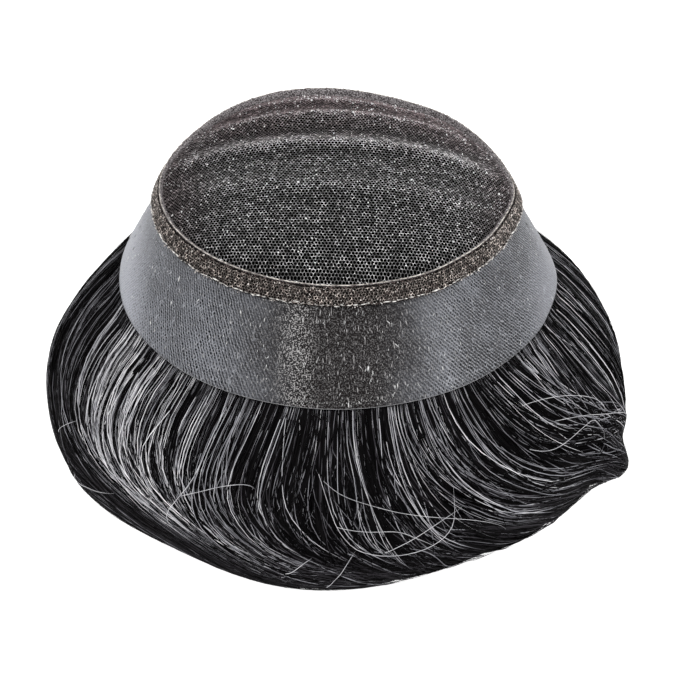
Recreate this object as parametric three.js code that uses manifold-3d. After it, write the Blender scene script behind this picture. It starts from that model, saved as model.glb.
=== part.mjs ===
// A toupee hairpiece turned inside out and stood on its own hair, as it is stored and sold:
// a domed lace crown, a folded lace binding round its rim, a flared skirt of clear film,
// and one mass of hair that lines them both and spills out below the skirt in combed locks.
//
// Millimetres, +Z up, X across the width, -Y towards the front.
// The origin is the middle of the footprint, on the surface that the hair stands on.
// Angles round the piece are in degrees from +X, turning towards +Y, so 270 is the front.

import * as THREE from "three";
import Module from "manifold-3d";

// The rim, where the crown, the binding and the skirt meet
const rimHalfWidth = 60.5;
const rimHalfDepth = 66.5;

// The lace crown
const crownRise = 14.5; // top of the crown above its rim
const crownRound = 2.2; // power of its profile: higher is flatter on top
const frontSteepness = 0.72; // power at the front, where it rises steeply from the rim
const backSteepness = 1.05; // the same at the back, where it slopes
const laceWall = 1;
const foldFade = 6; // power that lays the folds flat at the rim

// The film skirt
const filmDrop = 33; // rim to lower edge
const filmFlareSide = 14; // lower edge outside the rim, at the sides
const filmFlareEnd = 21; // the same, at the front and back
const filmWall = 1;
const filmTopInset = 0.8; // the film starts this far down its slope, under the lace

// The folded binding over the film's upper edge
const bindingWidth = 6.5;
const bindingWall = 0.9;
const lipOverlap = 0.6; // its rolled edge reaches this far in over the lace
const lipRoll = 0.8; // thickness of that rolled edge
const lipRollBack = 1.7; // the same at the back, where the doubled lace stands up

// The hair
const hairDrop = 53; // film's lower edge to the surface that it stands on
const hairReachSide = 24; // widest point of the hair outside the film's edge, at the sides
const hairReachEnd = 31; // the same, at the front and back
const hairLining = 3; // depth of hair under the lace and the film
const lockCount = 28;
const lockRelief = 2.6; // ridge of a lock above its edges
const lockRoot = 0.7; // share of a loose lock's depth that its root is sunk into the mass
const lockTaper = 0.94; // share of its section that a loose lock has lost at its tip
const lockFloor = 0.6; // its lowest point, clear of the surface that the hair stands on

// Neighbouring pieces stay this far apart
const clearance = 0.4;

const rimHeight = hairDrop + filmDrop;
const laceEdge = bindingWall + clearance; // the lace stops this far inside the rim

// Columns round the piece, rows as shares of the way out or down, and a loose lock's steps and sides
const crownColumns = 48;
const filmColumns = 64;
const crownShares = [0.14, 0.27, 0.39, 0.5, 0.6, 0.7, 0.79, 0.87, 0.94, 1];
const filmShares = [0, 0.22, 0.6, 1];
const liningShares = [0.4, 0.75, 1];
const liningDown = 0.5;
const lockSteps = 6;
const lockSides = 6;

// The crown's cross folds run from side to side. Places are shares of the crown's half depth,
// with + towards the back, and lift and half width are shares of its rise.
const folds = [
  { left: 0.84, middle: 0.74, right: 0.72, lift: 0.07, halfWidth: 0.33 },
  { left: 0.5, middle: 0.44, right: 0.42, lift: 0.08, halfWidth: 0.36 },
  { left: 0.3, middle: 0.24, right: 0.2, lift: -0.05, halfWidth: 0.34 },
  { left: 0.1, middle: 0.06, right: 0.02, lift: 0.08, halfWidth: 0.34 },
  { left: -0.16, middle: -0.36, right: -0.3, lift: 0.05, halfWidth: 0.42 },
];

// How the outline and the comb change round the piece. rim, flare and reach multiply the rim's
// radius, the film's flare and the hair's reach; middle and tip are how far the hair has swept
// round, in degrees, halfway along and at its tips.
const roundTable = [
  { at: 0, rim: 0.978, flare: 1.12, reach: 1.02, middle: -1, tip: -8 },
  { at: 30, rim: 0.952, flare: 1.1, reach: 1.12, middle: -4, tip: -18 },
  { at: 60, rim: 0.975, flare: 1, reach: 1.05, middle: -2, tip: -9 },
  { at: 105, rim: 1.045, flare: 1, reach: 1, middle: 2, tip: 6 },
  { at: 150, rim: 0.975, flare: 1.05, reach: 0.87, middle: 5, tip: 20 },
  { at: 180, rim: 0.995, flare: 0.95, reach: 1.07, middle: 7, tip: 30 },
  { at: 212, rim: 1, flare: 0.97, reach: 1.03, middle: 3, tip: 28 },
  { at: 240, rim: 1, flare: 1, reach: 0.85, middle: -7, tip: 13 },
  { at: 265, rim: 1, flare: 1, reach: 1.03, middle: -2, tip: 12 },
  { at: 295, rim: 0.985, flare: 1, reach: 0.88, middle: 8, tip: 21 },
  { at: 318, rim: 0.96, flare: 1.06, reach: 1.02, middle: 13, tip: 24 },
  { at: 340, rim: 0.955, flare: 1.14, reach: 1.16, middle: 1, tip: 6 },
];

// The hair's section outside the film, from the roots to the foot. out is a share of the reach,
// up of the drop, relief of a lock's ridge, and along is how far along the comb the row lies.
const outerRows = [
  { out: 0.07, up: 0.94, relief: 0.1, along: 0.08 },
  { out: 0.25, up: 0.84, relief: 0.4, along: 0.2 },
  { out: 0.52, up: 0.7, relief: 0.8, along: 0.36 },
  { out: 0.78, up: 0.55, relief: 1, along: 0.52 },
  { out: 0.95, up: 0.4, relief: 1, along: 0.66 },
  { out: 1, up: 0.26, relief: 1, along: 0.78 },
  { out: 0.97, up: 0.13, relief: 1, along: 0.88 },
  { out: 0.89, up: 0.04, relief: 0.9, along: 0.95 },
  { out: 0.77, up: 0, relief: 0.8, along: 1 },
];
// The section inside, from the foot back up to the film's lower edge.
const innerRows = [
  { out: 0.3, up: 0, along: 1 },
  { out: 0.38, up: 0.12, along: 0.88 },
  { out: 0.47, up: 0.26, along: 0.74 },
  { out: 0.36, up: 0.44, along: 0.56 },
  { out: 0.12, up: 0.64, along: 0.36 },
  { out: -0.08, up: 0.84, along: 0.16 },
];
// One lock across: at is a share of its breadth, and ridge a share of its relief.
const lockSection = [
  { at: 0, ridge: 0 },
  { at: 0.18, ridge: 0.78 },
  { at: 0.46, ridge: 1 },
  { at: 0.76, ridge: 0.68 },
];

// No two locks stand out quite alike: each row is a share of their relief, and how fast it
// changes from lock to lock.
const lockUneven = [
  { share: 0.22, pace: 2.4 },
  { share: 0.12, pace: 5.3 },
];

// Loose locks that part from the mass. from and to are places along the comb, lift is how far the
// tip stands off as a share of the reach, and breadth and depth are shares of the reach.
const looseLocks = [
  { at: 336, from: 0.3, to: 0.78, lift: 0.02, breadth: 0.6, depth: 0.34 },
  { at: 315, from: 0.42, to: 0.98, lift: 0.19, breadth: 0.66, depth: 0.36 },
  { at: 50, from: 0.3, to: 0.86, lift: 0.04, breadth: 0.9, depth: 0.36 },
  { at: 98, from: 0.3, to: 0.82, lift: 0.04, breadth: 0.8, depth: 0.32 },
  { at: 140, from: 0.4, to: 0.9, lift: 0.04, breadth: 0.9, depth: 0.36 },
  { at: 196, from: 0.4, to: 0.94, lift: 0, breadth: 0.9, depth: 0.36 },
  { at: 258, from: 0.4, to: 0.92, lift: 0, breadth: 0.8, depth: 0.32 },
  { at: 290, from: 0.3, to: 0.84, lift: 0.04, breadth: 0.8, depth: 0.34 },
];

const turn = 2 * Math.PI;
const radians = THREE.MathUtils.degToRad;
const lerp = THREE.MathUtils.lerp;

// The value of a column of roundTable at an angle, eased between its rows.
function roundValue(column, degrees) {
  const at = THREE.MathUtils.euclideanModulo(degrees, 360);
  let low = roundTable.length - 1;
  while (low > 0 && roundTable[low].at > at) low -= 1;
  const from = roundTable[low];
  const to = roundTable[(low + 1) % roundTable.length];
  const span = THREE.MathUtils.euclideanModulo(to.at - from.at, 360);
  const share = THREE.MathUtils.smoothstep(at - from.at, 0, span);
  return lerp(from[column], to[column], share);
}

// A value that goes from one size at the sides to another at the front and back.
const sideToEnd = (side, end, angle) => lerp(side, end, Math.sin(angle) ** 2);

// The point that lies out beyond the rim at an angle, and at a height.
function outside(angle, out, z) {
  const rim = roundValue("rim", THREE.MathUtils.radToDeg(angle));
  return new THREE.Vector3(
    (rimHalfWidth * rim + out) * Math.cos(angle),
    (rimHalfDepth * rim + out) * Math.sin(angle),
    z,
  );
}

// How far the film's lower edge stands out beyond the rim at an angle.
const flareAt = (angle) =>
  sideToEnd(filmFlareSide, filmFlareEnd, angle) * roundValue("flare", THREE.MathUtils.radToDeg(angle));
const slopeLength = (angle) => Math.hypot(flareAt(angle), filmDrop);

// A point on the slope that runs from the rim to the film's lower edge: so far down it, and so
// far out from its face.
function onSlope(angle, down, off) {
  const flare = flareAt(angle);
  const length = slopeLength(angle);
  const out = (flare * down + filmDrop * off) / length;
  const fall = (filmDrop * down - flare * off) / length;
  return outside(angle, out, rimHeight - fall);
}

// The film's outer face passes under the binding and comes up to the slope below it.
function filmFace(angle, down) {
  const sunk = 1 - THREE.MathUtils.smoothstep(down, bindingWidth, slopeLength(angle));
  return -(bindingWall + clearance) * sunk;
}

// The crown's height above its rim, without folds, at a share of the way from centre to rim.
function crownLift(angle, share) {
  const steepness = lerp(frontSteepness, backSteepness, 0.5 + 0.5 * Math.sin(angle));
  return crownRise * (1 - share ** crownRound) ** steepness;
}

// How far the folds raise or lower the lace at a place.
function foldLift(point, share) {
  const across = THREE.MathUtils.clamp(point.x / rimHalfWidth, -1, 1);
  let lift = 0;
  for (const fold of folds) {
    const side = across < 0 ? fold.left : fold.right;
    const place = lerp(fold.middle, side, across ** 2) * rimHalfDepth;
    const away = (point.y - place) / (fold.halfWidth * crownRise);
    lift += fold.lift * crownRise * Math.exp(-(away ** 2));
  }
  return lift * (1 - share ** foldFade);
}
const deepestFold = crownRise * Math.max(...folds.map((fold) => -fold.lift));

// A closed skin through rings of points, ordered from the top outwards, down and back inside.
// A ring of one point is a pole; an endless skin joins its last ring to its first.
function skin(rings, endless) {
  const positions = rings.flat().flatMap((point) => point.toArray());
  const starts = [];
  let count = 0;
  for (const ring of rings) {
    starts.push(count);
    count += ring.length;
  }
  const faces = [];
  const last = endless ? rings.length : rings.length - 1;
  for (let i = 0; i < last; i += 1) {
    const next = (i + 1) % rings.length;
    const columns = Math.max(rings[i].length, rings[next].length);
    for (let j = 0; j < columns; j += 1) {
      const a = starts[i] + (j % rings[i].length);
      const b = starts[i] + ((j + 1) % rings[i].length);
      const c = starts[next] + ((j + 1) % rings[next].length);
      const d = starts[next] + (j % rings[next].length);
      if (d !== c) faces.push(a, d, c);
      if (a !== b) faces.push(a, c, b);
    }
  }
  const geometry = new THREE.BufferGeometry();
  geometry.setAttribute("position", new THREE.Float32BufferAttribute(positions, 3));
  geometry.setIndex(faces);
  geometry.computeVertexNormals();
  return geometry;
}

// One ring: a point for each of so many columns.
const ringOf = (columns, pointAt) =>
  Array.from({ length: columns }, (_, j) => pointAt((turn * j) / columns));

// The lace crown: a folded dome, one wall thick.
function laceCrown() {
  const pointAt = (angle, share, sink) => {
    const edge = outside(angle, -laceEdge, 0);
    const point = new THREE.Vector3(edge.x * share, edge.y * share, 0);
    point.z = rimHeight + crownLift(angle, share) + foldLift(point, share) - sink;
    return point;
  };
  const rings = [[pointAt(0, 0, 0)]];
  for (const share of crownShares) rings.push(ringOf(crownColumns, (angle) => pointAt(angle, share, 0)));
  for (const share of crownShares.toReversed())
    rings.push(ringOf(crownColumns, (angle) => pointAt(angle, share, laceWall)));
  rings.push([pointAt(0, 0, laceWall)]);
  return skin(rings, false);
}

// The film skirt: a flared band. Each row is a share of the way from its upper to its lower edge.
function filmSkirt() {
  const ringAt = (share, sink) =>
    ringOf(filmColumns, (angle) => {
      const down = lerp(filmTopInset, slopeLength(angle), share);
      return onSlope(angle, down, filmFace(angle, down) - sink);
    });
  const outer = filmShares.map((share) => ringAt(share, 0));
  const inner = filmShares.toReversed().map((share) => ringAt(share, filmWall));
  return skin([...outer, ...inner], true);
}

// The binding: a band over the top of the film, with a rolled lip over the edge of the lace.
function laceBinding() {
  const lipInset = laceEdge + lipOverlap;
  const lipShare = 1 - lipOverlap / rimHalfWidth;
  const lipHeight = (angle, share) => {
    const roll = lerp(lipRoll, lipRollBack, THREE.MathUtils.smoothstep(Math.sin(angle), 0, 1));
    return rimHeight + crownLift(angle, lipShare) + clearance + roll * share;
  };
  const section = [
    (angle) => outside(angle, -lipInset, lipHeight(angle, 0)),
    (angle) => outside(angle, -lipInset, lipHeight(angle, 0.5)),
    (angle) => outside(angle, -laceEdge, lipHeight(angle, 1)),
    (angle) => outside(angle, -clearance, lipHeight(angle, 0.5)),
    (angle) => onSlope(angle, lipRoll, 0),
    (angle) => onSlope(angle, bindingWidth, 0),
    (angle) => onSlope(angle, bindingWidth, -bindingWall),
    (angle) => onSlope(angle, 0, -bindingWall),
  ];
  return skin(
    section.map((pointAt) => ringOf(filmColumns, pointAt)),
    true,
  );
}

// How far the hair's widest point stands out beyond the film's edge at an angle.
const reachAt = (angle) =>
  sideToEnd(hairReachSide, hairReachEnd, angle) * roundValue("reach", THREE.MathUtils.radToDeg(angle));

// How far the comb has swept a hair round, in degrees, at a place along it.
function sweep(degrees, along) {
  const middle = roundValue("middle", degrees);
  const tip = roundValue("tip", degrees);
  return 4 * middle * along * (1 - along) + tip * along * (2 * along - 1);
}

// A point of the hair below the film, for a hair that is rooted at so many degrees.
function hairPoint(degrees, row, ridge) {
  const angle = radians(degrees + sweep(degrees, row.along));
  return outside(angle, flareAt(angle) + reachAt(angle) * row.out + ridge, hairDrop * row.up);
}

// The row of the outer section at any place along the comb.
function rowAlong(along) {
  let next = outerRows.findIndex((row) => row.along >= along);
  next = Math.max(next, 1);
  const from = outerRows[next - 1];
  const to = outerRows[next];
  const share = (along - from.along) / (to.along - from.along);
  return { out: lerp(from.out, to.out, share), up: lerp(from.up, to.up, share), along };
}

// The mass of hair: a lining under the lace and the film that turns out round the film's edge
// into ridged locks, stands on a flat foot, and leaves the inside hollow.
function hairMass() {
  const underFilm = filmWall + clearance;
  const underLace = laceWall + deepestFold + clearance;
  const columns = [];
  for (let lock = 0; lock < lockCount; lock += 1)
    for (const { at, ridge } of lockSection)
      columns.push({ degrees: (360 * (lock + at)) / lockCount, ridge, lock });
  const ring = (pointAt) => columns.map(pointAt);

  // A ring under the film, a share of the way down it and so far below its outer face.
  const slopeRing = (share, past, sink) =>
    ring(({ degrees }) => {
      const angle = radians(degrees);
      const down = slopeLength(angle) * share + past;
      return onSlope(angle, down, filmFace(angle, down) - sink);
    });
  // A ring under the lace, a share of the way out from the middle of the crown.
  const capRing = (share, sink) =>
    ring(({ degrees }) => {
      const angle = radians(degrees);
      const edge = outside(angle, -(laceEdge + underFilm + sink - underLace), 0);
      const height = rimHeight + crownLift(angle, share) - sink;
      return new THREE.Vector3(edge.x * share, edge.y * share, height);
    });
  const pole = (sink) => [new THREE.Vector3(0, 0, rimHeight + crownRise - sink)];

  const uneven = (lock) =>
    lockUneven.reduce((sum, { share, pace }) => sum + share * Math.sin(pace * lock), 1);
  const outerRing = (row) =>
    ring(({ degrees, ridge, lock }) =>
      hairPoint(degrees, row, lockRelief * row.relief * (ridge - 1) * uneven(lock)),
    );
  const innerRing = (row) => ring(({ degrees }) => hairPoint(degrees, row, 0));

  const linedLace = underLace + hairLining;
  const linedFilm = underFilm + hairLining;
  const rings = [
    pole(underLace),
    ...liningShares.map((share) => capRing(share, underLace)),
    slopeRing(liningDown, 0, underFilm),
    slopeRing(1, clearance, underFilm),
    slopeRing(1, 2 * clearance, filmWall / 2),
    ...outerRows.map(outerRing),
    ...innerRows.map(innerRing),
    slopeRing(1, 0, linedFilm),
    slopeRing(liningDown, 0, linedFilm),
    ...liningShares.toReversed().map((share) => capRing(share, linedLace)),
    pole(linedLace),
  ];
  return skin(rings, false);
}

// A loose lock: a flat strip that leaves the mass, stands off it and narrows to its tip.
function looseLock({ at, from, to, lift, breadth, depth }) {
  const reach = reachAt(radians(at));
  const path = [];
  for (let step = 0; step <= lockSteps; step += 1) {
    const share = step / lockSteps;
    const row = rowAlong(lerp(from, to, share));
    path.push(hairPoint(at, row, reach * lerp(-lockRoot * depth, lift, share)));
  }
  const rings = path.map((point, step) => {
    const forward = path[Math.min(step + 1, lockSteps)].clone();
    forward.sub(path[Math.max(step - 1, 0)]).normalize();
    const outward = new THREE.Vector3(point.x, point.y, 0).normalize();
    const across = new THREE.Vector3().crossVectors(forward, outward).normalize();
    const normal = new THREE.Vector3().crossVectors(across, forward).normalize();
    const share = step / lockSteps;
    const taper = Math.sqrt(1 - lockTaper * share ** 2);
    return Array.from({ length: lockSides }, (_, side) => {
      const round = (turn * side) / lockSides;
      const corner = point.clone();
      corner.addScaledVector(across, 0.5 * breadth * reach * taper * Math.cos(round));
      corner.addScaledVector(normal, 0.5 * depth * reach * taper * Math.sin(round));
      corner.z = Math.max(corner.z, lockFloor);
      return corner;
    });
  });
  return skin([[path[0]], ...rings, [path[lockSteps]]], false);
}

const wasm = await Module();
wasm.setup();

// Three.js geometry to a manifold-3d solid, turned face out, and back.
function toSolid(geometry) {
  const triVerts = new Uint32Array(geometry.index.array);
  const vertProperties = new Float32Array(geometry.attributes.position.array);
  const solid = new wasm.Manifold(new wasm.Mesh({ numProp: 3, vertProperties, triVerts }));
  if (solid.volume() > 0) return solid;
  const turned = triVerts.toReversed();
  return new wasm.Manifold(new wasm.Mesh({ numProp: 3, vertProperties, triVerts: turned }));
}
function toGeometry(solid) {
  const mesh = solid.getMesh();
  const geometry = new THREE.BufferGeometry();
  geometry.setAttribute("position", new THREE.BufferAttribute(new Float32Array(mesh.vertProperties), 3));
  geometry.setIndex(new THREE.BufferAttribute(new Uint32Array(mesh.triVerts), 1));
  geometry.computeVertexNormals();
  return geometry;
}

// The hair with its loose locks fused to it.
function hairWithLocks() {
  let solid = toSolid(hairMass());
  for (const lock of looseLocks) solid = solid.add(toSolid(looseLock(lock)));
  return toGeometry(solid);
}

const finish = (color, roughness) => new THREE.MeshStandardMaterial({ color, roughness, metalness: 0 });
const laceFinish = finish(0x4a4444, 0.85);
const bindingFinish = finish(0x5b5048, 0.8);
const filmFinish = finish(0x7c7e84, 0.35);
const hairFinish = finish(0x242226, 0.5);

const toupee = new THREE.Group();
function add(name, geometry, material) {
  const mesh = new THREE.Mesh(geometry, material);
  mesh.name = name;
  toupee.add(mesh);
}
add("lace_crown", laceCrown(), laceFinish);
add("lace_binding", laceBinding(), bindingFinish);
add("film_skirt", filmSkirt(), filmFinish);
add("hair_mass", hairWithLocks(), hairFinish);

// The hair doesn't spread alike on every side, so the origin moves to the footprint's middle.
const middle = new THREE.Box3().setFromObject(toupee).getCenter(new THREE.Vector3());
toupee.position.set(-middle.x, -middle.y, 0);

export default toupee;
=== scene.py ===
import math
import bpy
import numpy as np
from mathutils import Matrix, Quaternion, Vector


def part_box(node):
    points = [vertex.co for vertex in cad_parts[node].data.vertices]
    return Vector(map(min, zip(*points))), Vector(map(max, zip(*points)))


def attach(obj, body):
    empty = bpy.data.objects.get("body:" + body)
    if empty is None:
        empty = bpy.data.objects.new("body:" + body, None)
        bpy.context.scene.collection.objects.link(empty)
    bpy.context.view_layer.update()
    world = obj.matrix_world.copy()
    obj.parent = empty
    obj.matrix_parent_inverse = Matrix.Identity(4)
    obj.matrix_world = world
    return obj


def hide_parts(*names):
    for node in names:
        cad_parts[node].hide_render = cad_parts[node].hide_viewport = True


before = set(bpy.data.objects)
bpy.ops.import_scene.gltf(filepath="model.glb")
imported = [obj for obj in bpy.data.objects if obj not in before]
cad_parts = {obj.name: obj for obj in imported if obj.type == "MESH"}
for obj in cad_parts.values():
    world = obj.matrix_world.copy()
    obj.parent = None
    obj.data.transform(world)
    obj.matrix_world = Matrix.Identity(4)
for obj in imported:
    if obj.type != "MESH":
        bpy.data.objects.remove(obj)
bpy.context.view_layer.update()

mm = 0.001
scene = bpy.context.scene


# Light and floor.
studio = dict(world=0.4, exposure=0.0,
              key=dict(place=(-0.55, -0.75, 1.25), size=0.9, power=17),
              side=dict(place=(0.95, -0.35, 0.75), size=0.8, power=9),
              back=dict(place=(0.1, 1.1, 1.0), size=1.0, power=14))

def makeLight(name, light):
    data = bpy.data.lights.new(name, "AREA")
    data.size = light["size"]
    data.energy = light["power"]
    lamp = bpy.data.objects.new(name, data)
    lamp.location = light["place"]
    lamp.rotation_euler = (Vector((0, 0, 0.05)) - lamp.location).to_track_quat("-Z", "Y").to_euler()
    scene.collection.objects.link(lamp)

def makeStudio(s):
    for name in ("key", "side", "back"):
        makeLight(name, s[name])
    world = bpy.data.worlds.new("studio")
    world.use_nodes = True
    world.node_tree.nodes["Background"].inputs["Color"].default_value = (1, 1, 1, 1)
    world.node_tree.nodes["Background"].inputs["Strength"].default_value = s["world"]
    scene.world = world
    scene.view_settings.view_transform = "Standard"
    scene.view_settings.exposure = s["exposure"]

makeStudio(studio)

def makeFloor():
    mesh = bpy.data.meshes.new("floor")
    mesh.from_pydata([(-6, -6, 0), (6, -6, 0), (6, 6, 0), (-6, 6, 0)], [], [(0, 1, 2, 3)])
    floor = bpy.data.objects.new("floor", mesh)
    scene.collection.objects.link(floor)
    paper = bpy.data.materials.new("whitePaper")
    paper.use_nodes = True
    shader = paper.node_tree.nodes["Principled BSDF"]
    shader.inputs["Base Color"].default_value = (0.35, 0.35, 0.35, 1)
    shader.inputs["Roughness"].default_value = 0.9
    shader.inputs["Emission Color"].default_value = (1, 1, 1, 1)
    shader.inputs["Emission Strength"].default_value = 1.0
    mesh.materials.append(paper)

makeFloor()
print("lights and floor are ready")


# The hairpiece's form. Sizes are in millimetres until a mesh is made of them.
form = dict(rimWidth=60.5, rimDepth=66.5, crownRise=14.5, crownRound=2.2,
            frontSteepness=0.72, backSteepness=1.05, foldFade=6,
            filmDrop=33, filmFlareSide=14, filmFlareEnd=21,
            bindingWidth=6.5, bindingWall=0.9, gap=0.4, filmWall=1.0,
            hairDrop=53, hairReachSide=24, hairReachEnd=31, locks=28, lockRelief=2.6)

# How the outline and the comb change round the piece, from +X towards +Y.
roundRows = np.array([
    # at, rim, flare, reach, middle, tip
    (0, 0.978, 1.12, 1.02, -1, -8),
    (30, 0.952, 1.1, 1.12, -4, -18),
    (60, 0.975, 1, 1.05, -2, -9),
    (105, 1.045, 1, 1, 2, 6),
    (150, 0.975, 1.05, 0.87, 5, 20),
    (180, 0.995, 0.95, 1.07, 7, 30),
    (212, 1, 0.97, 1.03, 3, 28),
    (240, 1, 1, 0.85, -7, 13),
    (265, 1, 1, 1.03, -2, 12),
    (295, 0.985, 1, 0.88, 8, 21),
    (318, 0.96, 1.06, 1.02, 13, 24),
    (340, 0.955, 1.14, 1.16, 1, 6),
])
roundColumns = dict(rim=1, flare=2, reach=3, middle=4, tip=5)

# The cross folds of the crown: left, middle and right places, lift and half width.
foldRows = [
    (0.84, 0.74, 0.72, 0.07, 0.33),
    (0.5, 0.44, 0.42, 0.08, 0.36),
    (0.3, 0.24, 0.2, -0.05, 0.34),
    (0.1, 0.06, 0.02, 0.08, 0.34),
    (-0.16, -0.36, -0.3, 0.05, 0.42),
]

# The hair's section: how far out, how far up, the ridge of a lock, and the place along the comb.
hairRows = np.array([
    (0.0, 1.0, 0.0, 0.0),
    (0.07, 0.94, 0.1, 0.08),
    (0.25, 0.84, 0.4, 0.2),
    (0.52, 0.7, 0.8, 0.36),
    (0.78, 0.55, 1, 0.52),
    (0.95, 0.4, 1, 0.66),
    (1, 0.26, 1, 0.78),
    (0.97, 0.13, 1, 0.88),
    (0.89, 0.04, 0.9, 0.95),
    (0.77, 0, 0.8, 1),
])
insideRows = np.array([
    (0.3, 0, 0, 1),
    (0.38, 0.12, 0, 0.88),
    (0.47, 0.26, 0, 0.74),
    (0.36, 0.44, 0, 0.56),
    (0.12, 0.64, 0, 0.36),
    (-0.08, 0.84, 0, 0.16),
])
lockRows = np.array([(0, 0), (0.18, 0.78), (0.46, 1), (0.76, 0.68), (1, 0)])

def smooth(t):
    t = np.clip(t, 0, 1)
    return t * t * (3 - 2 * t)

def roundValue(name, degrees):
    at = np.mod(degrees, 360)
    starts = roundRows[:, 0]
    low = np.searchsorted(starts, at, side="right") - 1
    high = (low + 1) % len(starts)
    span = np.mod(starts[high] - starts[low], 360)
    share = smooth((at - starts[low]) / span)
    column = roundRows[:, roundColumns[name]]
    return column[low] * (1 - share) + column[high] * share

def sideToEnd(side, end, degrees):
    return side + (end - side) * np.sin(np.radians(degrees)) ** 2

def outside(degrees, out, z):
    rim = roundValue("rim", degrees)
    angle = np.radians(degrees)
    x = (form["rimWidth"] * rim + out) * np.cos(angle)
    y = (form["rimDepth"] * rim + out) * np.sin(angle)
    return np.stack(np.broadcast_arrays(x, y, z), axis=-1)

def flareAt(degrees):
    return sideToEnd(form["filmFlareSide"], form["filmFlareEnd"], degrees) * roundValue("flare", degrees)

def reachAt(degrees):
    return sideToEnd(form["hairReachSide"], form["hairReachEnd"], degrees) * roundValue("reach", degrees)

def slopeLength(degrees):
    return np.hypot(flareAt(degrees), form["filmDrop"])

rimHeight = form["hairDrop"] + form["filmDrop"]

def onSlope(degrees, down, off):
    flare, length = flareAt(degrees), slopeLength(degrees)
    out = (flare * down + form["filmDrop"] * off) / length
    fall = (form["filmDrop"] * down - flare * off) / length
    return outside(degrees, out, rimHeight - fall)

def filmFace(degrees, down):
    width = form["bindingWidth"]
    sunk = 1 - smooth((down - width) / (slopeLength(degrees) - width))
    return -(form["bindingWall"] + form["gap"]) * sunk

laceEdge = form["bindingWall"] + form["gap"]

# How much the crown rises at a share of the way from its middle to the rim.
def domeAt(degrees, share):
    steepness = form["frontSteepness"] + (form["backSteepness"] - form["frontSteepness"]) * (
        0.5 + 0.5 * np.sin(np.radians(degrees)))
    return form["crownRise"] * (1 - share ** form["crownRound"]) ** steepness

# Height of the lace over a place, and the place's share of the way from the middle to the rim.
def crownHeight(x, y):
    degrees = np.degrees(np.arctan2(y / form["rimDepth"], x / form["rimWidth"]))
    edge = outside(degrees, -laceEdge, 0.0)
    share = np.clip(np.hypot(x, y) / np.maximum(np.hypot(edge[..., 0], edge[..., 1]), 1e-6), 0, 1)
    across = np.clip(x / form["rimWidth"], -1, 1)
    folds = 0
    for left, middle, right, rise, halfWidth in foldRows:
        side = np.where(across < 0, left, right)
        place = (middle + (side - middle) * across ** 2) * form["rimDepth"]
        folds = folds + rise * form["crownRise"] * np.exp(
            -((y - place) / (halfWidth * form["crownRise"])) ** 2)
    return rimHeight + domeAt(degrees, share) + folds * (1 - share ** form["foldFade"]), share

# The formulas turn about the crown's own middle, and the CAD's origin is the footprint's middle.
def findShift():
    ring = onSlope(np.arange(0, 360, 0.25), slopeLength(np.arange(0, 360, 0.25)), 0.0)
    low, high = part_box("film_skirt")
    middle = (ring.min(0) + ring.max(0)) / 2
    return np.array([(low[0] + high[0]) / 2 / mm - middle[0], (low[1] + high[1]) / 2 / mm - middle[1], 0])

shift = findShift()
print("shift from the crown's middle to the origin, mm:", shift.round(2))


# Camera. The photograph was taken from in front and 30 degrees up, with a long lens. Its places
# are measured from the crown's middle.
photo = dict(width=679, mmPerPixel=0.34, distance=1200, elevation=30, roll=1.3,
             middle=(0, 0, 50), aim=(1.51, -10.09, 32.5))

def makeCamera(p):
    data = bpy.data.cameras.new("camera")
    data.sensor_width = 36
    data.lens = 36 * p["distance"] / (p["mmPerPixel"] * p["width"])
    data.clip_start, data.clip_end = 0.05, 20
    camera = bpy.data.objects.new("camera", data)
    scene.collection.objects.link(camera)
    tilt = math.radians(p["elevation"])
    middle = Vector(p["middle"]) + Vector(shift)
    camera.location = (middle + p["distance"] * Vector((0, -math.cos(tilt), math.sin(tilt)))) * mm
    look = (Vector(p["aim"]) + Vector(shift)) * mm - camera.location
    turned = look.to_track_quat("-Z", "Y") @ Quaternion((0, 0, 1), math.radians(p["roll"]))
    camera.rotation_euler = turned.to_euler()
    scene.camera = camera

makeCamera(photo)


# Building tools: meshes from arrays, materials and node trees.
def addMesh(name, points, faces, edges=(), values=None, uv=None):
    mesh = bpy.data.meshes.new(name)
    placed = (np.asarray(points, dtype=float) + shift) * mm
    mesh.from_pydata(placed.tolist(), list(edges), list(faces))
    for key, value in (values or {}).items():
        mesh.attributes.new(key, "FLOAT", "POINT").data.foreach_set("value", np.asarray(value, dtype=float))
    if uv is not None:
        layer = mesh.uv_layers.new(name="UVMap")
        corner = np.zeros(len(mesh.loops), dtype=int)
        mesh.loops.foreach_get("vertex_index", corner)
        layer.data.foreach_set("uv", np.asarray(uv(corner, mesh), dtype=float).ravel())
    if len(faces):
        mesh.shade_smooth()
    obj = bpy.data.objects.new(name, mesh)
    scene.collection.objects.link(obj)
    return obj

# A grid of rings joined into faces. Columns go round; closed also joins the last ring to the first.
def ringFaces(rows, columns, closed):
    faces = []
    for i in range(rows if closed else rows - 1):
        for j in range(columns):
            a, b = i * columns + j, i * columns + (j + 1) % columns
            k = ((i + 1) % rows) * columns
            faces.append((a, k + j, k + (j + 1) % columns, b))
    return faces

# The same with both ends filled.
def closedRings(rows, columns):
    last = (rows - 1) * columns
    return ringFaces(rows, columns, False) + [tuple(range(columns)),
                                              tuple(last + i for i in reversed(range(columns)))]

# UV in metres along the rings and down them, with the seam kept whole.
def ringUv(columns, around, down):
    def uv(corner, mesh):
        row, column = corner // columns, corner % columns
        faceOf = np.repeat(np.arange(len(mesh.polygons)), 4)
        first = column.reshape(-1, 4)
        seam = (first.max(1) == columns - 1) & (first.min(1) == 0)
        wrapped = seam[faceOf] & (column == 0)
        u = np.where(wrapped, around[columns], around[column])
        return np.stack([u, down[row]], axis=1) * mm
    return uv

def finishPiece(obj, replaced=(), finish=None):
    if finish:
        obj.data.materials.append(finish)
    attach(obj, "root")
    if replaced:
        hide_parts(*replaced)

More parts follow.
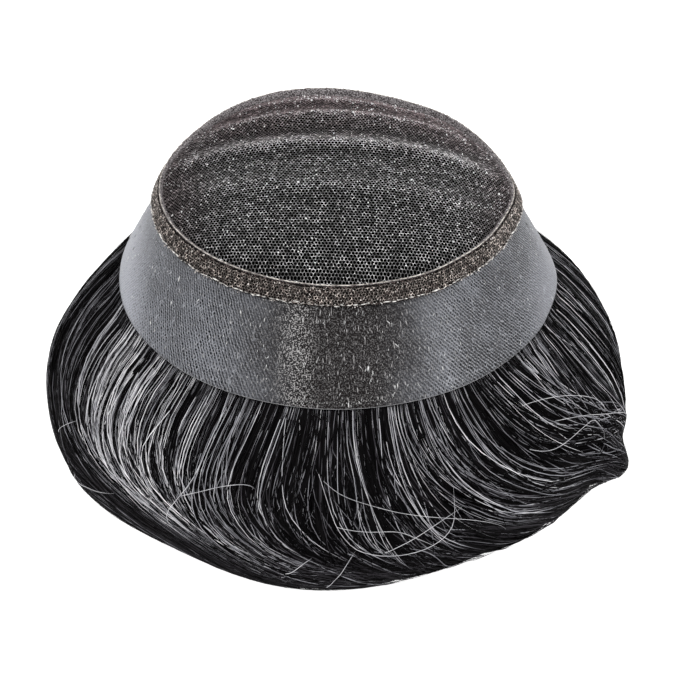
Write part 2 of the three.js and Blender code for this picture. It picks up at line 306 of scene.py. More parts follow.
def newMaterial(name, roughness, specular=0.5, coat=0.0, coatRoughness=0.2):
    material = bpy.data.materials.new(name)
    material.use_nodes = True
    shader = material.node_tree.nodes["Principled BSDF"]
    shader.inputs["Roughness"].default_value = roughness
    shader.inputs["Specular IOR Level"].default_value = specular
    shader.inputs["Coat Weight"].default_value = coat
    shader.inputs["Coat Roughness"].default_value = coatRoughness
    return material, material.node_tree, shader

def addNode(tree, kind, settings=None, **values):
    node = tree.nodes.new(kind)
    for key, value in (settings or {}).items():
        setattr(node, key, value)
    for key, value in values.items():
        spot = int(key[2:]) if key.startswith("in") and key[2:].isdigit() else key.replace("_", " ")
        if isinstance(value, bpy.types.NodeSocket):
            tree.links.new(value, node.inputs[spot])
        else:
            node.inputs[spot].default_value = value
    return node

def addSocket(tree, name, direction, kind):
    return tree.interface.new_socket(name, in_out=direction, socket_type="NodeSocket" + kind)

def math1(tree, operation, a, b=0.0, c=0.0):
    return addNode(tree, "ShaderNodeMath", dict(operation=operation), in0=a, in1=b, in2=c).outputs[0]

def times(tree, a, b):
    return math1(tree, "MULTIPLY", a, b)

def vector1(tree, operation, a, b):
    return addNode(tree, "ShaderNodeVectorMath", dict(operation=operation), in0=a, in1=b).outputs[0]

def noise(tree, vector, scale, detail=2.0):
    return addNode(tree, "ShaderNodeTexNoise", Vector=vector, Scale=scale, Detail=detail).outputs["Fac"]

def objectPlace(tree):
    return addNode(tree, "ShaderNodeTexCoord").outputs["Object"]

def ownUv(tree):
    return addNode(tree, "ShaderNodeUVMap", dict(uv_map="UVMap")).outputs[0]

def toneOf(tree):
    return addNode(tree, "ShaderNodeAttribute", dict(attribute_name="tone")).outputs["Fac"]

def scaledPlace(tree, vector, scale):
    return addNode(tree, "ShaderNodeMapping", Vector=vector, Scale=scale).outputs[0]

def paint(tree, shader, colour):
    tree.links.new(colour, shader.inputs["Base Color"])

def emboss(tree, shader, height, strength, distance, sunk=False):
    bump = addNode(tree, "ShaderNodeBump", Height=height, Strength=strength, Distance=distance)
    bump.invert = sunk
    tree.links.new(bump.outputs[0], shader.inputs["Normal"])

def mixColour(tree, share, a, b):
    node = tree.nodes.new("ShaderNodeMix")
    node.data_type = "RGBA"
    for spot, value in ((0, share), (6, a), (7, b)):
        if isinstance(value, bpy.types.NodeSocket):
            tree.links.new(value, node.inputs[spot])
        else:
            node.inputs[spot].default_value = value if spot == 0 else (*value, 1)
    return node.outputs[2]

def ramp(tree, value, low, high, out0=0.0, out1=1.0):
    return addNode(tree, "ShaderNodeMapRange", dict(interpolation_type="SMOOTHSTEP"),
                   Value=value, From_Min=low, From_Max=high, To_Min=out0, To_Max=out1).outputs[0]

# Thread, cord or knots that vary a little between two colours.
def threadMaterial(name, low, high, roughness=0.5, specular=0.4,
                   grain=700.0, detail=1.0, edges=(0.35, 0.65)):
    material, tree, shader = newMaterial(name, roughness, specular)
    fine = noise(tree, objectPlace(tree), grain, detail)
    paint(tree, shader, mixColour(tree, ramp(tree, fine, *edges), low, high))
    return material

# The net's holes on a surface's own UV: 1 in a hole and 0 on a thread.
def makeNetGroup():
    group = bpy.data.node_groups.new("netHoles", "ShaderNodeTree")
    for name, kind in (("Vector", "NodeSocketVector"), ("Pitch", "NodeSocketFloat"),
                       ("Row", "NodeSocketFloat"), ("Hole", "NodeSocketFloat"),
                       ("Softness", "NodeSocketFloat"), ("Stretch", "NodeSocketFloat")):
        group.interface.new_socket(name, in_out="INPUT", socket_type=kind)
    addSocket(group, "Hole", "OUTPUT", "Float")
    entry = group.nodes.new("NodeGroupInput")
    leave = group.nodes.new("NodeGroupOutput")
    cell = addNode(group, "ShaderNodeCombineXYZ", X=entry.outputs["Pitch"],
                   Y=math1(group, "MULTIPLY", entry.outputs["Row"], 2.0), Z=1.0).outputs[0]
    place = vector1(group, "DIVIDE", entry.outputs["Vector"], cell)
    shape = addNode(group, "ShaderNodeCombineXYZ", X=1.0, Y=entry.outputs["Stretch"], Z=0.0).outputs[0]
    nearest = []
    for offset in ((0.0, 0.0, 0.0), (0.5, 0.5, 0.0)):
        moved = vector1(group, "ADD", place, offset)
        part = addNode(group, "ShaderNodeVectorMath", dict(operation="FRACTION"), in0=moved).outputs[0]
        centred = vector1(group, "SUBTRACT", part, (0.5, 0.5, 0.0))
        flat = vector1(group, "MULTIPLY", centred, shape)
        distance = addNode(group, "ShaderNodeVectorMath", dict(operation="LENGTH"), in0=flat)
        nearest.append(distance.outputs["Value"])
    closest = math1(group, "MINIMUM", nearest[0], nearest[1])
    inner = math1(group, "SUBTRACT", entry.outputs["Hole"], entry.outputs["Softness"])
    hole = ramp(group, closest, inner, entry.outputs["Hole"], 1.0, 0.0)
    group.links.new(hole, leave.inputs[0])
    return group

netGroup = makeNetGroup()

def netHoles(tree, vector, pitch, row, hole, softness, stretch):
    node = tree.nodes.new("ShaderNodeGroup")
    node.node_tree = netGroup
    tree.links.new(vector, node.inputs["Vector"])
    for name, value in (("Pitch", pitch), ("Row", row), ("Hole", hole), ("Softness", softness),
                        ("Stretch", stretch)):
        node.inputs[name].default_value = value
    return node.outputs[0]

# Geometry nodes that make a round thread along every edge of a mesh, as thick as its points say.
def makeThreadTree():
    tree = bpy.data.node_groups.new("threads", "GeometryNodeTree")
    addSocket(tree, "Geometry", "INPUT", "Geometry")
    sides = addSocket(tree, "Sides", "INPUT", "Int")
    finish = addSocket(tree, "Finish", "INPUT", "Material")
    addSocket(tree, "Geometry", "OUTPUT", "Geometry")
    entry, leave = tree.nodes.new("NodeGroupInput"), tree.nodes.new("NodeGroupOutput")
    curve = addNode(tree, "GeometryNodeMeshToCurve", in0=entry.outputs["Geometry"]).outputs[0]
    thick = addNode(tree, "GeometryNodeInputNamedAttribute", dict(data_type="FLOAT"), Name="thickness")
    sized = addNode(tree, "GeometryNodeSetCurveRadius", Curve=curve,
                    Radius=thick.outputs["Attribute"]).outputs[0]
    circle = addNode(tree, "GeometryNodeCurvePrimitiveCircle", dict(mode="RADIUS"),
                     Resolution=entry.outputs["Sides"], Radius=1.0).outputs[0]
    tube = addNode(tree, "GeometryNodeCurveToMesh", Curve=sized, Profile_Curve=circle)
    if "Scale" in tube.inputs:
        radius = tree.nodes.new("GeometryNodeInputRadius")
        tree.links.new(radius.outputs[0], tube.inputs["Scale"])
    shaded = addNode(tree, "GeometryNodeSetShadeSmooth", in0=tube.outputs[0]).outputs[0]
    real = addNode(tree, "GeometryNodeRealizeInstances", in0=shaded).outputs[0]
    done = addNode(tree, "GeometryNodeSetMaterial", Geometry=real,
                   Material=entry.outputs["Finish"]).outputs[0]
    tree.links.new(done, leave.inputs[0])
    return tree, dict(sides=sides.identifier, finish=finish.identifier)

# Geometry nodes that set a small lump on every point of a mesh, turned and sized as its points say.
def makeLumpTree():
    tree = bpy.data.node_groups.new("lumps", "GeometryNodeTree")
    addSocket(tree, "Geometry", "INPUT", "Geometry")
    shape = addSocket(tree, "Shape", "INPUT", "Vector")
    finish = addSocket(tree, "Finish", "INPUT", "Material")
    addSocket(tree, "Geometry", "OUTPUT", "Geometry")
    entry, leave = tree.nodes.new("NodeGroupInput"), tree.nodes.new("NodeGroupOutput")
    lump = addNode(tree, "GeometryNodeMeshIcoSphere", Radius=1.0, Subdivisions=1).outputs[0]
    size = addNode(tree, "GeometryNodeInputNamedAttribute", dict(data_type="FLOAT"), Name="size")
    lean = addNode(tree, "GeometryNodeInputNamedAttribute", dict(data_type="FLOAT_VECTOR"), Name="lean")
    scaled = addNode(tree, "ShaderNodeVectorMath", dict(operation="SCALE"),
                     in0=entry.outputs["Shape"]).outputs[0]
    tree.links.new(size.outputs["Attribute"], scaled.node.inputs["Scale"])
    turned = addNode(tree, "FunctionNodeAlignRotationToVector", dict(axis="Z"),
                     Vector=lean.outputs["Attribute"])
    placed = addNode(tree, "GeometryNodeInstanceOnPoints", Points=entry.outputs["Geometry"], Instance=lump,
                     Rotation=turned.outputs[0], Scale=scaled).outputs[0]
    real = addNode(tree, "GeometryNodeRealizeInstances", in0=placed).outputs[0]
    shaded = addNode(tree, "GeometryNodeSetShadeSmooth", in0=real).outputs[0]
    done = addNode(tree, "GeometryNodeSetMaterial", Geometry=shaded,
                   Material=entry.outputs["Finish"]).outputs[0]
    tree.links.new(done, leave.inputs[0])
    return tree, dict(shape=shape.identifier, finish=finish.identifier)

threadTree, threadSockets = makeThreadTree()
lumpTree, lumpSockets = makeLumpTree()

# The nodes' result becomes a plain mesh under the piece's own name.
def settle(source, tree, inputs):
    modifier = source.modifiers.new("nodes", "NODES")
    modifier.node_group = tree
    for identifier, value in inputs.items():
        modifier[identifier] = value
    depsgraph = bpy.context.evaluated_depsgraph_get()
    mesh = bpy.data.meshes.new_from_object(source.evaluated_get(depsgraph),
                                           preserve_all_data_layers=True, depsgraph=depsgraph)
    name, draft = source.name, source.data
    bpy.data.objects.remove(source)
    bpy.data.meshes.remove(draft)
    mesh.name = name
    piece = bpy.data.objects.new(name, mesh)
    scene.collection.objects.link(piece)
    print(name, "has", sum(len(p.vertices) - 2 for p in mesh.polygons), "triangles")
    return piece

def makeThreads(name, points, edges, thickness, sides, finish, values=None):
    given = dict(values or {})
    given["thickness"] = np.broadcast_to(np.asarray(thickness, dtype=float) * mm, (len(points),))
    source = addMesh(name, points, [], edges, given)
    return settle(source, threadTree, {threadSockets["sides"]: sides, threadSockets["finish"]: finish})

def makeLumps(name, points, size, lean, shape, finish):
    source = addMesh(name, points, [], (), dict(size=np.asarray(size, dtype=float) * mm))
    source.data.attributes.new("lean", "FLOAT_VECTOR", "POINT").data.foreach_set(
        "vector", np.asarray(lean, dtype=float).ravel())
    return settle(source, lumpTree, {lumpSockets["shape"]: shape, lumpSockets["finish"]: finish})

def chainEdges(rows, length, closed=False):
    start = np.arange(rows)[:, None] * length
    step = np.arange(length if closed else length - 1)[None, :]
    a = (start + step).ravel()
    b = (start + (step + 1) % length).ravel()
    return np.stack([a, b], axis=1).tolist()

# A honeycomb net over u and v: two points and three threads for each hole.
def honeycomb(columns, rows, pitch, rowPitch, wraps):
    i, j = np.meshgrid(np.arange(columns), np.arange(rows), indexing="xy")
    u = (i + 0.5 * (j % 2)) * pitch
    v = j * rowPitch
    upper = np.stack([u, v + rowPitch * 2 / 3], axis=-1).reshape(-1, 2)
    lower = np.stack([u, v - rowPitch * 2 / 3], axis=-1).reshape(-1, 2)
    count = columns * rows
    edges = []
    def index(ii, jj):
        return jj * columns + (ii % columns if wraps else ii)
    for jj in range(rows - 1):
        odd = jj % 2
        for ii in range(columns):
            here = index(ii, jj)
            for other in (ii + odd, ii + odd - 1):
                if wraps or 0 <= other < columns:
                    edges.append((here, count + index(other, jj + 1)))
            if jj >= 1:
                edges.append((index(ii, jj - 1), count + index(ii, jj + 1)))
    return np.concatenate([upper, lower]), edges


# The crown: a honeycomb net over the dark hair that lines it.
crown = dict(pitch=1.146, rowPitch=1.25, thread=0.092, sink=0.1, hairSink=0.55, wall=0.7,
             inset=0.35, bow=0.0055, knots=2800, knotSize=0.16, seed=11)

def arcPlaces(profile, reach, count=801):
    t = np.linspace(-reach, reach, count)
    z = profile(t)
    length = np.concatenate([[0], np.cumsum(np.hypot(np.diff(t), np.diff(z)))])
    return t, length - np.interp(0, t, length)

def crownPlaces(uv, c):
    sideT, sideLength = arcPlaces(lambda t: crownHeight(t, np.zeros_like(t))[0], form["rimWidth"] - 2)
    endT, endLength = arcPlaces(lambda t: crownHeight(np.zeros_like(t), t)[0], form["rimDepth"] - 1)
    def spread(value, length, place):
        inside = np.interp(value, length, place)
        past = np.maximum(value - length[-1], 0) + np.minimum(value - length[0], 0)
        return inside + past
    x = spread(uv[:, 0], sideLength, sideT)
    y = spread(uv[:, 1], endLength, endT)
    front = smooth(-y / form["rimDepth"])
    y = y + c["bow"] * front * x ** 2
    return x, y

# How much a place stands above the lace 4 mm before and behind it, fading out at the rim.
def ridgeAt(x, y):
    height, share = crownHeight(x, y)
    proud = height - (crownHeight(x, y - 4)[0] + crownHeight(x, y + 4)[0]) / 2
    return np.clip(proud, -0.6, 1.2) * smooth((1 - share) / 0.14)

def makeCrownNet(c, finish):
    halfColumns, halfRows = 60, 62
    uv, edges = honeycomb(2 * halfColumns, 2 * halfRows, c["pitch"], c["rowPitch"], False)
    uv = uv - np.array([halfColumns * c["pitch"], halfRows * c["rowPitch"]])
    x, y = crownPlaces(uv, c)
    degrees = np.degrees(np.arctan2(y / form["rimDepth"], x / form["rimWidth"]))
    rim = outside(degrees, -c["inset"], 0.0)
    keep = np.hypot(x, y) < np.hypot(rim[:, 0], rim[:, 1])
    edges = np.array(edges)
    edges = edges[keep[edges[:, 0]] & keep[edges[:, 1]]]
    used = np.unique(edges)
    renumber = np.full(len(x), -1)
    renumber[used] = np.arange(len(used))
    x, y = x[used], y[used]
    rng = np.random.default_rng(c["seed"])
    points = np.stack([x, y, crownHeight(x, y)[0] - c["sink"]], axis=1)
    points = points + rng.normal(0, 0.06, points.shape)
    ridge = ridgeAt(x, y)
    patch = np.sin(x * 0.9 + 1.7 * np.sin(y * 0.5)) * np.sin(y * 1.1 + 1.3 * np.sin(x * 0.4))
    # Painted light and shade on the folds: the threads are made lighter on the ridges and darker in the
    # valleys.
    foldLightAndShade = np.where(ridge < 0, 2.6, 1.2) * ridge
    tone = 0.16 * rng.lognormal(0, 0.95, len(x)) * np.exp(foldLightAndShade + 0.3 * patch)
    tone = tone * (1 + 0.2 * smooth((y + 40) / 50)) * (1 - 0.3 * smooth((np.abs(x) - 30) / 25))
    tone = np.clip(tone, 0.01, 1)
    net = makeThreads("crown_net", points, renumber[edges].tolist(), c["thread"], 3, finish, dict(tone=tone))
    finishPiece(net, ("lace_crown",))
    return points, ridge

def makeCrownHair(c, finish):
    columns, shares = 144, np.linspace(0.02, 1, 46)
    degrees = np.arange(columns) * 360 / columns
    rings = []
    for sink, order in ((c["hairSink"], shares), (c["hairSink"] + c["wall"], shares[::-1])):
        for share in order:
            edge = outside(degrees, -laceEdge, 0.0) * share
            z, _ = crownHeight(edge[:, 0], edge[:, 1])
            rings.append(np.stack([edge[:, 0], edge[:, 1], z - sink], axis=1))
    piece = addMesh("crown_under_hair", np.concatenate(rings), closedRings(len(rings), columns))
    finishPiece(piece, (), finish)

def makeKnots(c, netPoints, ridge, finish):
    rng = np.random.default_rng(c["seed"] + 1)
    # The pale knots gather on the fold ridges, where they also stand for glints: partly real knots, partly
    # painted highlight.
    glintWeight = np.exp(3.4 * ridge)
    patches = np.sin(netPoints[:, 0] * 0.21) * np.sin(netPoints[:, 1] * 0.17 + 1) + 1.2
    glintWeight = glintWeight * patches / (glintWeight * patches).sum()
    picked = netPoints[rng.choice(len(netPoints), c["knots"], replace=False, p=glintWeight)]
    picked = picked + rng.normal(0, 0.1, picked.shape) + np.array([0, 0, 0.1])
    lean = np.stack([rng.normal(0, 0.7, len(picked)), rng.normal(-0.6, 0.6, len(picked)),
                     rng.uniform(0.2, 1, len(picked))], axis=1)
    size = c["knotSize"] * rng.lognormal(-0.1, 0.4, len(picked))
    knots = makeLumps("crown_knots", picked, size, lean, (0.75, 0.75, 1.3), finish)
    finishPiece(knots)

def laceMaterial():
    material, tree, shader = newMaterial("laceThread", 0.5, 0.35)
    tone = toneOf(tree)
    place = objectPlace(tree)
    back = addNode(tree, "ShaderNodeSeparateXYZ", Vector=place)
    cloud = noise(tree, place, 60.0, 2.0)
    behind = ramp(tree, math1(tree, "ADD", back.outputs["Y"], times(tree, cloud, 0.04)), 0.01, 0.06)
    aside = ramp(tree, math1(tree, "ABSOLUTE", back.outputs["X"]), 0.036, 0.06)
    purple = math1(tree, "MAXIMUM", behind, times(tree, aside, 0.8))
    grey = mixColour(tree, tone, (0.012, 0.011, 0.011), (1.0, 0.98, 0.99))
    brown = mixColour(tree, tone, (0.022, 0.014, 0.015), (0.5, 0.39, 0.4))
    paint(tree, shader, mixColour(tree, purple, grey, brown))
    return material

def underHairMaterial():
    material, tree, shader = newMaterial("darkUnderHair", 0.8, 0.0)
    place = objectPlace(tree)
    stretched = scaledPlace(tree, place, (2600.0, 260.0, 260.0))
    strands = noise(tree, stretched, 1.0, 2.0)
    colour = mixColour(tree, ramp(tree, strands, 0.5, 0.75),
                       (0.0005, 0.0005, 0.0005), (0.005, 0.0045, 0.0045))
    paint(tree, shader, colour)
    return material

netPoints, netRidge = makeCrownNet(crown, laceMaterial())
makeCrownHair(crown, underHairMaterial())
makeKnots(crown, netPoints, netRidge,
          threadMaterial("whiteKnot", (0.35, 0.34, 0.35), (0.95, 0.95, 0.96), roughness=0.3, specular=0.6,
                         grain=600.0, detail=2.0, edges=(0.3, 0.6)))
print("the crown is ready")


# The binding: a doubled net over the film's upper edge, with a rolled rim and a line of stitches.
binding = dict(columns=360, pitch=1.02, rowPitch=0.85, thread=0.092, lift=0.15, backLift=2.3,
               rimThread=0.15, stitch=0.17, stitchLength=1.9, sparks=950, sparkSize=0.15, seed=23)

ringStart = 90.0  # seams are at the back

def ringAngles(columns):
    return ringStart + np.arange(columns) * 360 / columns

def around(columns, down):
    ring = onSlope(ringStart + np.arange(columns + 1) * 360 / columns, down, 0.0)
    return np.concatenate([[0], np.cumsum(np.linalg.norm(np.diff(ring, axis=0), axis=1))])

# The rim stands up at the back, where the doubled lace turns over.
def rimRise(b, degrees):
    return b["backLift"] * smooth(np.sin(np.radians(degrees)) * 1.15 + 0.05)

def bindingSection(b, degrees):
    wall, width = form["bindingWall"], form["bindingWidth"]
    rise = rimRise(b, degrees)
    def top(out, up, share):
        return outside(degrees, out, rimHeight + up + rise * share)
    return [top(-2.4, -1.6, 0), top(-2.2, -0.7, 0.1), top(-1.7, -0.4, 0.7), top(-1.2, -0.2, 0.95),
            top(-0.75, 0.05, 1), top(-0.35, 0.1, 0.85), top(-0.1, -0.05, 0.4), onSlope(degrees, 0.4, -0.02),
            onSlope(degrees, 1.5, 0.02), onSlope(degrees, 3.2, 0.0), onSlope(degrees, 5.0, 0.0),
            onSlope(degrees, width - 0.3, 0.0), onSlope(degrees, width, -0.2), onSlope(degrees, width, -wall),
            onSlope(degrees, 3.2, -wall), onSlope(degrees, 0.8, -wall)]

def makeBinding(b, finish):
    rings = bindingSection(b, ringAngles(b["columns"]))
    down = np.array([-4, -3.1, -2.4, -1.8, -1.2, -0.8, -0.3, 0.4, 1.5, 3.2, 5.0, 6.2, 6.5, 7.2, 10.0, 12.6])
    faces = ringFaces(len(rings), b["columns"], True)
    uv = ringUv(b["columns"], around(b["columns"], 3.0), down)
    piece = addMesh("binding_band", np.concatenate(rings), faces, uv=uv)
    finishPiece(piece, ("lace_binding",), finish)

def makeBindingNet(b, finish):
    rows = int(form["bindingWidth"] / b["rowPitch"]) + 1
    length = around(720, 3.0)[-1]
    columns = int(round(length / b["pitch"]))
    uv, edges = honeycomb(columns, rows, 1.0, b["rowPitch"], True)
    degrees = ringStart + uv[:, 0] / columns * 360
    down = np.clip(0.5 + uv[:, 1], 0.3, form["bindingWidth"])
    rng = np.random.default_rng(b["seed"])
    points = onSlope(degrees, down, b["lift"]) + rng.normal(0, 0.14, (len(uv), 3))
    tone = np.clip(0.13 * rng.lognormal(0, 1.15, len(points)), 0.005, 1)
    net = makeThreads("binding_net", points, edges, b["thread"], 3, finish, dict(tone=tone))
    finishPiece(net)

def makeRimThread(b, finish):
    columns = 700
    rng = np.random.default_rng(b["seed"])
    degrees = ringAngles(columns)
    points = outside(degrees, -0.35, rimHeight + 0.15 + rimRise(b, degrees) * 0.9)
    points = points + rng.normal(0, 0.05, points.shape)
    thick = b["rimThread"] * (1 + 0.35 * np.sin(np.arange(columns) * 2.1) + rng.normal(0, 0.15, columns))
    thick = np.maximum(thick, 0.06)
    thread = makeThreads("rim_thread", points, chainEdges(1, columns, True), thick, 6, finish)
    finishPiece(thread)

def makeStitches(b, finish):
    rng = np.random.default_rng(b["seed"] + 2)
    length = around(720, form["bindingWidth"])[-1]
    count = int(length / (b["stitchLength"] * 1.15))
    centre = ringStart + (np.arange(count) + rng.uniform(-0.2, 0.2, count)) * 360 / count
    half = 0.5 * b["stitchLength"] / length * 360 * rng.lognormal(-0.2, 0.4, (count, 1))
    t = np.linspace(-1, 1, 5)
    degrees = centre[:, None] + t[None, :] * half
    slant = rng.normal(0, 0.13, (count, 1)) * t[None, :]
    down = form["bindingWidth"] - 0.45 + rng.normal(0, 0.16, (count, 1)) + slant
    off = 0.22 * (1 - t[None, :] ** 4) + 0 * degrees
    points = onSlope(degrees.ravel(), down.ravel(), off.ravel())
    strong = b["stitch"] * np.clip(rng.normal(0.95, 0.35, count), 0.3, 1.5)
    thick = (strong[:, None] * np.array([0.5, 1, 1.1, 1, 0.5])).ravel()
    stitches = makeThreads("binding_stitches", points, chainEdges(count, 5), thick, 5, finish)
    finishPiece(stitches)

def makeSparks(b, finish):
    rng = np.random.default_rng(b["seed"] + 3)
    degrees = rng.uniform(0, 360, b["sparks"])
    down = rng.uniform(0.3, form["bindingWidth"] + 0.6, b["sparks"])
    points = onSlope(degrees, down, 0.22)
    lean = rng.normal(0, 1, (b["sparks"], 3))
    size = b["sparkSize"] * rng.lognormal(0, 0.35, b["sparks"])
    sparks = makeLumps("binding_sparks", points, size, lean, (0.8, 0.8, 1.4), finish)
    finishPiece(sparks)

def bindingMaterial(b):
    material, tree, shader = newMaterial("doubleLace", 0.8, 0.05)
    uv = ownUv(tree)
    holes = netHoles(tree, uv, b["pitch"] * mm, b["rowPitch"] * mm, 0.36, 0.16, 1.6)
    place = objectPlace(tree)
    fine = noise(tree, place, 1500.0, 1.0)
    light = ramp(tree, fine, 0.5, 0.66)
    thread = mixColour(tree, light, (0.004, 0.003, 0.0025), (0.1, 0.077, 0.072))
    band = mixColour(tree, holes, thread, (0.001, 0.001, 0.001))
    finest = noise(tree, place, 2400.0, 1.0)
    lip = mixColour(tree, ramp(tree, finest, 0.38, 0.66), (0.035, 0.029, 0.03), (0.3, 0.28, 0.285))
    down = addNode(tree, "ShaderNodeSeparateXYZ", Vector=uv).outputs["Y"]
    colour = mixColour(tree, ramp(tree, down, 0.0, -0.0006), band, lip)
    paint(tree, shader, colour)
    emboss(tree, shader, holes, 0.6, 0.0002, True)
    return material

def bindingThreadMaterial():
    material, tree, shader = newMaterial("bindingThread", 0.5, 0.4)
    tone = toneOf(tree)
    colour = mixColour(tree, tone, (0.012, 0.009, 0.008), (1.0, 0.88, 0.8))
    paint(tree, shader, colour)
    return material

makeBinding(binding, bindingMaterial(binding))
makeBindingNet(binding, bindingThreadMaterial())
makeRimThread(binding, threadMaterial("rimCord", (0.15, 0.13, 0.115), (0.62, 0.58, 0.53)))
makeStitches(binding, threadMaterial("stitchThread", (0.3, 0.29, 0.28), (0.85, 0.83, 0.8)))
makeSparks(binding, threadMaterial("sparkThread", (0.3, 0.27, 0.25), (0.75, 0.7, 0.67)))
print("the binding is ready")


# The film skirt: clear film with net cast in it, knots showing through, and a bright lower edge.
film = dict(columns=400, rows=26, wall=0.45, edge=0.14, pitch=1.3, rowPitch=0.88,
            dashes=1100, dashSize=0.135, edgeRow=44, patchPlace=-0.0135, patchWidth=0.0085, seed=37)

def makeFilm(f, finish):
    degrees = ringAngles(f["columns"])
    length = slopeLength(degrees)
    shares = np.linspace(0, 1, f["rows"])
    rings, down = [], []
    for share in shares:
        at = 0.8 + (length - 0.8) * share
        rings.append(onSlope(degrees, at, filmFace(degrees, at)))
        down.append(0.8 + 37 * share)
    for share in shares[::-1]:
        at = 0.8 + (length - 0.8) * share
        rings.append(onSlope(degrees, at, filmFace(degrees, at) - f["wall"]))
        down.append(45 + 37 * (1 - share))
    faces = ringFaces(len(rings), f["columns"], True)
    uv = ringUv(f["columns"], around(f["columns"], 20.0), np.array(down))
    piece = addMesh("film_skirt_sheet", np.concatenate(rings), faces, uv=uv)
    finishPiece(piece, ("film_skirt",), finish)

def makeFilmEdge(f, finish):
    columns = 600
    degrees = ringAngles(columns)
    points = onSlope(degrees, slopeLength(degrees) - 0.05, -0.15)
    edge = makeThreads("film_edge", points, chainEdges(1, columns, True), f["edge"], 6, finish)
    finishPiece(edge)

def makeDashes(f, finish):
    rng = np.random.default_rng(f["seed"])
    middle = rng.uniform(0, 1, f["dashes"]) < 0.25
    degrees = np.where(middle, rng.normal(272, 17, f["dashes"]), rng.uniform(0, 360, f["dashes"]))
    share = rng.uniform(0, 1, f["dashes"])
    down = form["bindingWidth"] + 0.6 + (slopeLength(degrees) - form["bindingWidth"] - 1.4) * share
    points = onSlope(degrees, down, filmFace(degrees, down) + 0.02)
    ahead = onSlope(degrees + rng.normal(0, 0.35, f["dashes"]), down + 1, filmFace(degrees, down) + 0.02)
    size = f["dashSize"] * rng.lognormal(-0.2, 0.45, f["dashes"])
    row = slice(0, f["edgeRow"])
    degrees[row] = np.linspace(259, 283, f["edgeRow"])
    down[row] = slopeLength(degrees[row]) - 1.9 + rng.normal(0, 0.25, f["edgeRow"])
    points[row] = onSlope(degrees[row], down[row], filmFace(degrees[row], down[row]) + 0.02)
    size[row] = 0.8 * f["dashSize"]
    lean = ahead - points
    lean[row] = (0, 0, -1)
    dashes = makeLumps("film_knots", points, size, lean, (0.9, 0.4, 3.4), finish)
    finishPiece(dashes)

def filmMaterial(f):
    material, tree, shader = newMaterial("castFilm", 0.5, 0.06, 0.0, 0.3)
    uv = ownUv(tree)
    place = objectPlace(tree)
    wander = addNode(tree, "ShaderNodeTexNoise", Vector=place, Scale=620.0, Detail=1.0).outputs["Color"]
    shaken = addNode(tree, "ShaderNodeVectorMath", dict(operation="MULTIPLY_ADD"), in0=wander,
                     in1=(0.0011, 0.0012, 0.0), in2=uv).outputs[0]
    # A copy of the holes moved a little sideways gives each hole a painted highlight on one rim.
    shifted = vector1(tree, "ADD", shaken, (0.0003, -0.0004, 0.0))
    holes = netHoles(tree, shaken, f["pitch"] * mm, f["rowPitch"] * mm, 0.275, 0.07, 0.92)
    lit = netHoles(tree, shifted, f["pitch"] * mm, f["rowPitch"] * mm, 0.275, 0.12, 0.92)
    patches = noise(tree, place, 45.0, 3.0)
    spread = noise(tree, place, 130.0, 2.0)
    single = noise(tree, place, 950.0, 1.0)
    grain = noise(tree, place, 2500.0, 0.0)
    streaked = scaledPlace(tree, uv, (2000.0, 330.0, 1.0))
    streaks = noise(tree, streaked, 1.0, 1.0)
    side = addNode(tree, "ShaderNodeSeparateXYZ", Vector=place).outputs["X"]
    sideways = math1(tree, "ABSOLUTE", side)
    outer = ramp(tree, sideways, 0.01, 0.042)
    far = ramp(tree, sideways, 0.06, 0.0715)
    # The film is dark brown in the middle and turns blue-grey towards the sides; the lighter sides are a
    # painted reflection of the bright surroundings.
    filmAndSideSheen = mixColour(tree, outer, (0.0065, 0.0048, 0.0044), (0.13, 0.135, 0.152))
    cloudyFilmAndSheen = mixColour(tree, ramp(tree, patches, 0.4, 0.66, 0.0, 0.7), filmAndSideSheen, (0.01, 0.008, 0.008))
    # Painted reflection at the far sides, brighter on the left than on the right.
    leftward = ramp(tree, side, 0.03, -0.03)
    sheen = mixColour(tree, far, cloudyFilmAndSheen, mixColour(tree, leftward, (0.18, 0.185, 0.21), (0.32, 0.33, 0.37)))
    away = math1(tree, "ABSOLUTE", math1(tree, "SUBTRACT", side, f["patchPlace"]))
    patch = ramp(tree, away, f["patchWidth"], 0.0)
    amount = math1(tree, "MULTIPLY_ADD", patch, 0.76, 0.24)
    central = math1(tree, "SUBTRACT", 1.0, times(tree, outer, 0.4))
    speck = math1(tree, "MAXIMUM", times(tree, ramp(tree, grain, 0.54, 0.64), amount),
                  ramp(tree, streaks, 0.65, 0.72))
    grainy = mixColour(tree, times(tree, speck, central), sheen, (0.34, 0.33, 0.33))
    # The holes fade where the far sides carry the painted reflection.
    near = math1(tree, "SUBTRACT", 1.0, times(tree, far, 0.6))
    woven = times(tree, near, math1(tree, "MULTIPLY_ADD", outer, 0.65, 0.35))
    chosen = times(tree, ramp(tree, spread, 0.32, 0.5, 0.75, 1.0), ramp(tree, single, 0.34, 0.5, 0.4, 1.0))
    strength = times(tree, chosen, woven)
    # Painted highlight: the rim glints are brighter towards the sides.
    bright = math1(tree, "MULTIPLY_ADD", outer, 0.6, 0.12)
    glint = times(tree, lit, times(tree, strength, bright))
    mottled = scaledPlace(tree, uv, (520.0, 330.0, 1.0))
    mottle = noise(tree, mottled, 1.0, 2.0)
    milky = times(tree, ramp(tree, mottle, 0.56, 0.7, 0.0, 0.6), outer)
    glinting = mixColour(tree, math1(tree, "MAXIMUM", glint, milky), grainy, (0.34, 0.35, 0.38))
    dark = times(tree, holes, strength)
    paint(tree, shader, mixColour(tree, dark, glinting, (0.003, 0.003, 0.004)))
    uneven = math1(tree, "ADD", times(tree, dark, -0.7), times(tree, grain, 0.4))
    emboss(tree, shader, uneven, 0.5, 0.0002)
    tree.links.new(times(tree, outer, 0.15), shader.inputs["Coat Weight"])
    return material

